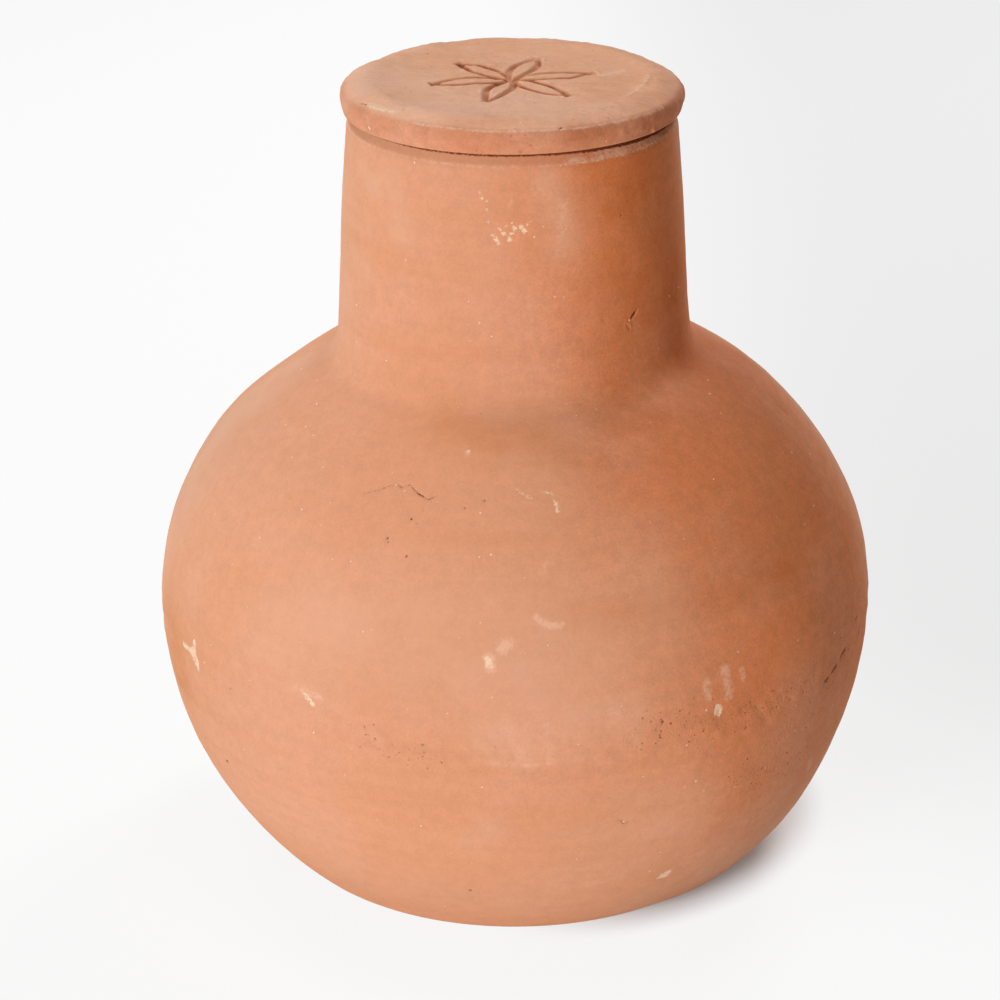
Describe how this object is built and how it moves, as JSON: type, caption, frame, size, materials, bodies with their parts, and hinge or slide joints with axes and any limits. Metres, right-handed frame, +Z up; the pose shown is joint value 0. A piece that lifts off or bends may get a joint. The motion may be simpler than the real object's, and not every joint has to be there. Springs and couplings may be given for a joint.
{
  "type": "lidded terracotta jar",
  "caption": "Unglazed terracotta jar with a round belly, a tapered neck and a loose disc lid that drops into the mouth; stores water or waters soil through its porous wall.",
  "frame": {"origin": "centre of the foot, on the surface that the jar stands on", "axes": "+Z up along the jar's axis, +Y away from the picture's camera, +X to its right"},
  "size_m": [0.247, 0.247, 0.2756],
  "materials": {
    "jar_clay": "matt unglazed terracotta with pits and pale scuffs",
    "lid_clay": "matt unglazed terracotta, slightly dusty"
  },
  "bodies": {
    "jar": {"base_bowl": "jar_clay", "shoulder_bowl": "jar_clay", "neck_collar": "jar_clay"},
    "lid": {"lid_disc": "lid_clay", "lid_locating_ring": "lid_clay"}
  },
  "joints": [
    {"name": "lid_lift", "type": "slide", "parent": "jar", "child": "lid", "axis": [0, 0, 1], "range_m": [0, 0.12]}
  ]
}
